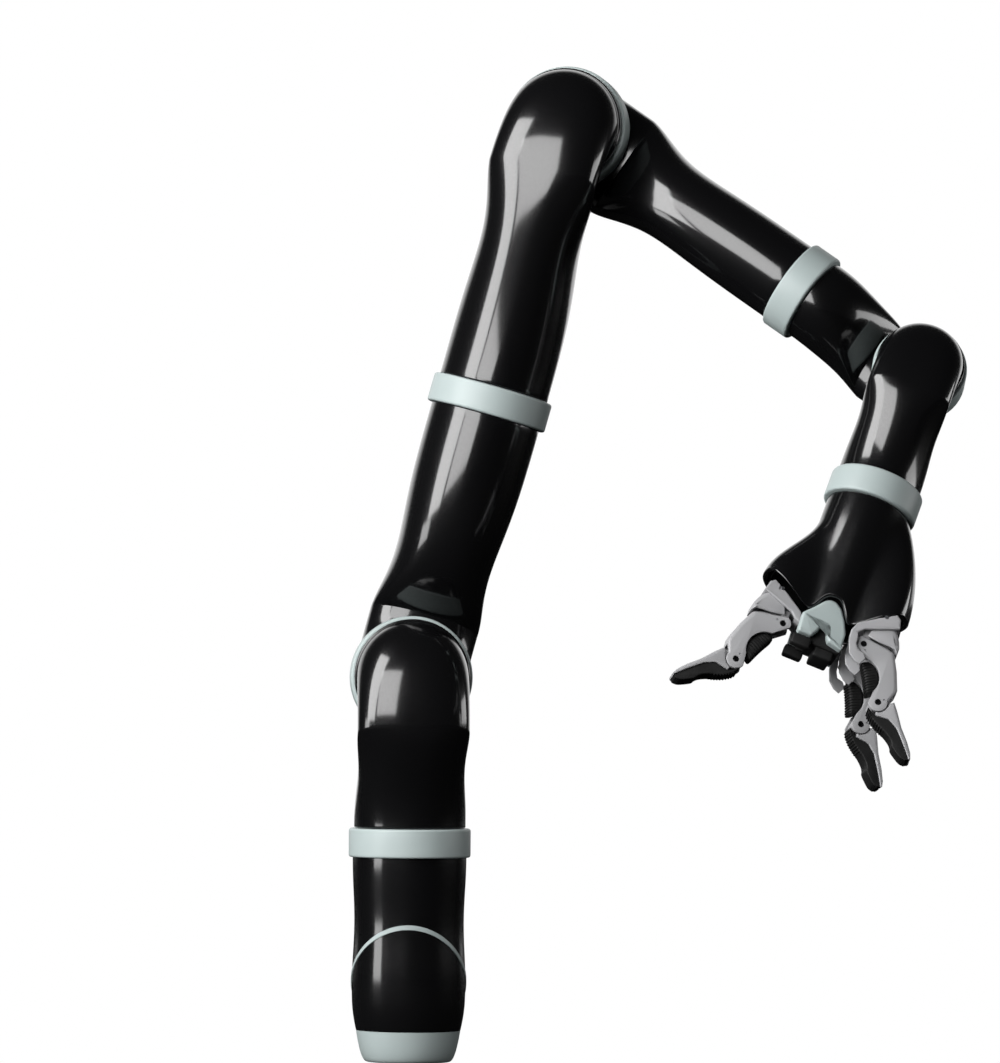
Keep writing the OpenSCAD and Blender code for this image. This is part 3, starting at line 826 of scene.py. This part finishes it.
# ---- Fingers, drawn as in the CAD: X towards the back, Z towards the tip ----
LINK_OUTLINE = (
    arc(0, 0, 6, 200, 285, 12)
    + [(10.6, 1.6), (16.5, 6)]
    + arc(15.8, 11.5, 4, -50, 0, 4)
    + [(18.6, 24), (15.9, 37.2), (13.6, 40.2)]
    + arc(0, LINK_LEN, 6.8, 8, 190, 20)
    + arc(-8.9, 23, 14.5, 58, -58, 20)
)
LINK_SLOT = [(-20, -20), (14, -20), (17, 12), (13.2, 36), (9, 60), (-20, 60)]
KNUCKLE_OUTLINE = [(4, -4.8), (8, -9)] + arc(0, 0, 25.2, -20, 18, 12) + [
    (21.5, 11.5), (19.9, 9), (16.7, 5.7), (10.8, 1.4),
]
KNUCKLE_SLOT = [(-20, -20), (16, -20), (21, -6), (21, 4), (19.95, 20), (-20, 20)]
BRACKET_OUTLINE = [
    (-9, -11.8), (5.1, -21.4), (15.4, -27.4), (18.6, -24.9), (20.5, -17.8),
    (-2.5, -9.3), (-6.5, -5.4), (-10.4, -3.4), (-11.6, -5.4),
]
BRACKET_LEG = [
    (-6.5, -5.4), (-11.2, -4.6), (-10.6, 3), (-7.6, 11.2), (-2.8, 15.4), (1.8, 17),
    (4.5, 11.5), (1.5, 8), (-3, 7), (-5, 3), (-5.5, -2),
]
TIP_BACK = [(11, 4.2), (10, 11.2), (7.4, 23), (6.3, 34.3), (4.8, 42), (2.6, 46.3)]
TIP_INNER = [(1.2, 46.3), (2.2, 39.4), (2.9, 32), (3.6, 22.4), (1.6, 14.2), (-5.4, 8.2)]
TIP_PALM = [
    (-7.9, 0.4), (-8.7, 4), (-8.6, 9.5), (-7.1, 15.5), (-5, 21.5), (-4, 27),
    (-4.3, 30.5), (-5.2, 33), (-4.6, 38), (-3.4, 43), (-1.2, 45.9),
]
# Small holes beside each pin, on the finger's two cheeks
CHEEK_HOLES = {-1: [(4.5, 1.4), (1.0, LINK_LEN - 4.7)], 1: [(0.0, 5.0), (4.6, LINK_LEN - 0.6)]}


def smooth_line(points, count):
    """More points along an open line, on a Catmull-Rom curve through the given ones."""
    p = [np.array(q, float) for q in (points[0], *points, points[-1])]
    out = []
    for i in range(1, len(p) - 2):
        for k in range(count):
            t = k / count
            out.append(tuple(0.5 * (
                2 * p[i] + (p[i + 1] - p[i - 1]) * t
                + (2 * p[i - 1] - 5 * p[i] + 4 * p[i + 1] - p[i + 2]) * t**2
                + (3 * p[i] - p[i - 1] - 3 * p[i + 1] + p[i + 2]) * t**3
            )))
    return [*out, tuple(p[-1])]


def finger_link(finger):
    piece = block(f"{finger}_link_casting", LINK_OUTLINE, -LINK_HALF, LINK_HALF, 0.7, 3.6, 9)
    cuts = [prism_object("slot", LINK_SLOT, -SLOT_HALF, SLOT_HALF)]
    for z in (0, LINK_LEN):
        cuts.append(drum_object("bore", 2.3, -10, 10, 0, z, 32))
    for side, sites in CHEEK_HOLES.items():
        low, high = sorted((side * 7.4, side * 10))
        cuts += [drum_object("hole", 0.8, low, high, x, z, 16) for x, z in sites]
    combine(piece, cuts, "DIFFERENCE")
    settle(piece, finger_matrix(finger), finger, GREY, "finger_grey_plastic", (f"{finger}_link",), 35)


def finger_knuckle(finger):
    piece = block(f"{finger}_knuckle_collar", KNUCKLE_OUTLINE, -KNUCKLE_HALF, KNUCKLE_HALF, 0.6, 3.4, 12)
    combine(piece, [prism_object("slot", KNUCKLE_SLOT, -8.3, 8.3)], "DIFFERENCE")
    settle(piece, finger_matrix(finger), finger, GREY, "finger_grey_plastic", (f"{finger}_knuckle",), 35)


def finger_pins(finger):
    """Each pin has a head with a hexagon socket on both cheeks."""
    reach = LINK_HALF - 0.5
    pins = []
    for z in (0, LINK_LEN):
        pin = block("pin", arc(0, z, 2.25, 0, 345, 23), -reach, reach, 0.35)
        sockets = []
        for side in (-1, 1):
            low, high = sorted((side * (reach - 1.3), side * (reach + 1)))
            sockets.append(drum_object("socket", 1.15, low, high, 0, z, 6))
        pins.append(combine(pin, sockets, "DIFFERENCE"))
    piece = join(pins[0], pins[1:])
    piece.name = f"{finger}_pin_pair"
    settle(piece, finger_matrix(finger), finger, STEEL, "pin_steel", (f"{finger}_pins",), 35)


def rib_step(z, pitch=2.0, duty=0.55):
    """1 on a rib, 0 between ribs, with short slopes."""
    phase = (z / pitch) % 1
    return max(0.0, min(1.0, (duty / 2 - abs(phase - 0.5)) / 0.08 + 0.5))


def finger_link_pad(finger, stations=110, around=40):
    """A ribbed tread on the palm side of a finger's first link."""
    rings = []
    for i in range(stations + 1):
        z = mix(11.4, 36.4, i / stations)
        palm_x = -4.2 - 2.4 * ((z - 11.4) / 25) ** 2
        back_x = -8.9 + math.sqrt(max(0, 14.5**2 - (z - 23) ** 2)) + 0.4
        round_end = math.sqrt(max(0.0, 1 - (abs(i / stations * 2 - 1)) ** 14))
        ring = []
        for j in range(around):
            a = 2 * math.pi * j / around
            cx, sx = math.cos(a), math.sin(a)
            x = np.sign(cx) * abs(cx) ** 0.45
            y = np.sign(sx) * abs(sx) ** 0.45
            on_palm = min(1, max(0, 0.75 - x))
            grow = 0.75 * on_palm * rib_step(z) - 0.35 * (1 - on_palm)
            half = (back_x - palm_x) / 2
            centre = (back_x + palm_x) / 2
            out = half + grow * (x < 0)
            ring.append((centre + out * x * round_end, (SLOT_HALF + grow) * y * round_end, z))
        rings.append(ring)
    points = [p for ring in rings for p in ring]
    faces = grid_faces(len(rings), around)
    faces.append(tuple(range(around)))
    faces.append(tuple(reversed(range(len(points) - around, len(points)))))
    make_mesh(
        f"{finger}_tread", points, faces, finger_matrix(finger), finger, RUBBER, "black_rubber",
        (f"{finger}_link_pad",), 30,
    )


def finger_bracket(finger):
    piece = block(f"{finger}_mount", rounded(BRACKET_OUTLINE, 0.8, 3), -BRACKET_HALF, BRACKET_HALF, 1.0)
    cuts = [cuboid("window", (-6.5, -9.8, -40), (18.8, 9.8, 20))]
    for side in (-1, 1):
        low, high = sorted((side * 10.6, side * 14))
        cuts.append(cuboid("notch", (4.6, low, -25), (11.4, high, -21.4)))
    combine(piece, cuts, "DIFFERENCE")
    parts = [
        cuboid("lug_foot", (-9, -LUG_HALF, -13.4), (3, LUG_HALF, -10), 0.4),
        cuboid("lug_stem", (-2.5, -LUG_HALF, -15), (3, LUG_HALF, 0), 0.4),
        drum_object("lug", 4.6, -LUG_HALF, LUG_HALF),
    ]
    if finger != "thumb":
        for side in (-1, 1):
            low, high = sorted((side * 9.8, side * BRACKET_HALF))
            parts.append(block("leg", BRACKET_LEG, low, high, 0.6))
    join(piece, parts)
    settle(piece, pivot_matrix(finger), "hand", GREY, "finger_grey_plastic", (f"{finger}_bracket",), 35)
    screws = [drum_object("screw", 1.2, low, low + 0.9, 8.6, -23.4, 24) for low in (-11.3, 10.4)]
    settle(join(screws[0], screws[1:]), pivot_matrix(finger), "hand", METAL, "actuator_metal")


def finger_tip(finger):
    outline = rounded(TIP_BACK, [0, 3, 6, 6, 4, 0], 4) + rounded(TIP_INNER, [0, 4, 4, 4, 4, 0], 4)
    outline += arc(0, 0, 7.4, 128, 30, 12)
    piece = block(f"{finger}_tip_casting", outline, -TIP_HALF, TIP_HALF, 0.6, 2.6, 4.4)
    combine(piece, [cuboid("split", (-4, -1.3, 26), (20, 1.3, 60))], "DIFFERENCE")
    lug = drum_object("lug", 5, -LUG_HALF, LUG_HALF)
    root = prism_object("root", [(-3, 3), (5, 0), (8, 6), (0, 10)], -LUG_HALF, LUG_HALF)
    join(piece, [lug, root])
    settle(piece, tip_matrix(finger), f"{finger}_end", GREY, "finger_grey_plastic", (f"{finger}_tip",), 35)


def finger_tip_pad(finger):
    """A rubber pad with ribs near its root and a smooth nail towards its end."""
    palm_side = smooth_line(TIP_PALM, 12)
    normals = inward(palm_side + list(reversed(TIP_INNER)))
    ribbed = []
    for (x, z), (nx, nz) in zip(palm_side, normals):
        depth = 0.6 * (1 - rib_step(z)) * min(1, max(0, (21 - z) / 3))
        ribbed.append((x + nx * depth, z + nz * depth))
    outline = [(-7.3, 1.0), *ribbed, *TIP_INNER]
    piece = block(f"{finger}_tip_rubber", outline, -6.6, 6.6, 0.9)
    settle(piece, tip_matrix(finger), f"{finger}_end", RUBBER, "black_rubber", (f"{finger}_tip_pad",), 30)


def fingers():
    for finger in FINGERS:
        finger_bracket(finger)
        finger_knuckle(finger)
        finger_link(finger)
        finger_pins(finger)
        finger_link_pad(finger)
        finger_tip(finger)
        finger_tip_pad(finger)


# ---- Camera, lights and floor ----
CAMERA_TARGET = Vector((0.06288, 0.0, 0.38037))
CAMERA_DISTANCE = 5.37576
CAMERA_TURNS = (-0.011, 0.78, -0.473)


def camera():
    lens = bpy.data.cameras.new("camera")
    lens.sensor_width = 36
    lens.lens = 253.81
    lens.clip_start = 0.1
    lens.clip_end = 50
    eye = bpy.data.objects.new("camera", lens)
    bpy.context.scene.collection.objects.link(eye)
    yaw, pitch, roll = (math.radians(a) for a in CAMERA_TURNS)
    turn = Matrix.Rotation(yaw, 3, "Z") @ Matrix.Rotation(pitch, 3, "X") @ Matrix.Rotation(roll, 3, "Y")
    right, forward, up = turn.col[0], turn.col[1], turn.col[2]
    eye.matrix_world = axes_matrix(right, up, -forward, CAMERA_TARGET - forward * CAMERA_DISTANCE)
    bpy.context.scene.camera = eye


def area_light(name, place_at, target, width, height, power):
    light = bpy.data.lights.new(name, "AREA")
    light.shape = "RECTANGLE"
    light.size, light.size_y = width, height
    light.energy = power
    lamp = bpy.data.objects.new(name, light)
    bpy.context.scene.collection.objects.link(lamp)
    lamp.location = place_at
    lamp.visible_camera = False
    direction = Vector(target) - lamp.location
    lamp.rotation_euler = direction.to_track_quat("-Z", "Y").to_euler()


def backdrop(tree):
    """A white backdrop behind the arm, a dark studio on the other sides."""
    coords = tree.nodes.new("ShaderNodeTexCoord")
    axes = tree.nodes.new("ShaderNodeSeparateXYZ")
    tree.links.new(coords.outputs["Generated"], axes.inputs["Vector"])
    stops = [(0.0, grey(0.012)), (0.66, grey(0.02)), (0.82, grey(0.9)), (1.0, grey(1.0))]
    return ramp(tree, axes.outputs["Y"], stops)


def white_to_eye(tree, seen, unseen):
    path = tree.nodes.new("ShaderNodeLightPath")
    blend = tree.nodes.new("ShaderNodeMixShader")
    tree.links.new(path.outputs["Is Camera Ray"], blend.inputs[0])
    tree.links.new(unseen, blend.inputs[1])
    tree.links.new(seen, blend.inputs[2])
    return blend.outputs[0]


def studio():
    world = bpy.data.worlds.new("studio")
    bpy.context.scene.world = world
    world.use_nodes = True
    tree = world.node_tree
    plain = tree.nodes["Background"]
    tree.links.new(backdrop(tree), plain.inputs["Color"])
    white = tree.nodes.new("ShaderNodeBackground")
    tree.links.new(
        white_to_eye(tree, white.outputs[0], plain.outputs[0]), tree.nodes["World Output"].inputs["Surface"]
    )
    white.inputs["Color"].default_value = (1, 1, 1, 1)
    middle = (0.1, 0.0, 0.45)
    area_light("key_left", (-1.6, -1.2, 1.3), middle, 1.0, 1.95, 54)
    area_light("front_left", (-0.78, -1.92, 1.1), middle, 1.2, 1.25, 32)
    area_light("low_left", (-1.7, -0.75, 0.2), (0, 0, 0.2), 0.6, 0.36, 4)
    area_light("fill_right", (1.75, 0.0, 0.47), middle, 1.2, 0.34, 5)


def floor():
    mesh = bpy.data.meshes.new("floor")
    mesh.from_pydata([(-6, -8, 0), (6, -8, 0), (6, 8, 0), (-6, 8, 0)], [], [(0, 1, 2, 3)])
    ground = bpy.data.objects.new("floor", mesh)
    bpy.context.scene.collection.objects.link(ground)
    mat, tree, shader = material("floor_paper", (0.012, 0.012, 0.012), 1.0, Specular_IOR_Level=0.0)
    white = tree.nodes.new("ShaderNodeEmission")
    tree.links.new(
        white_to_eye(tree, white.outputs[0], shader.outputs[0]),
        tree.nodes["Material Output"].inputs["Surface"],
    )
    mesh.materials.append(mat)
    ground.location.z = -0.0005


camera()
studio()
floor()
dress_nodes()
arm_shells()
joint_rings()
bezels()
base_pieces()
hand_shell()
palm()
fingers()

bpy.context.scene.view_settings.view_transform = "Standard"
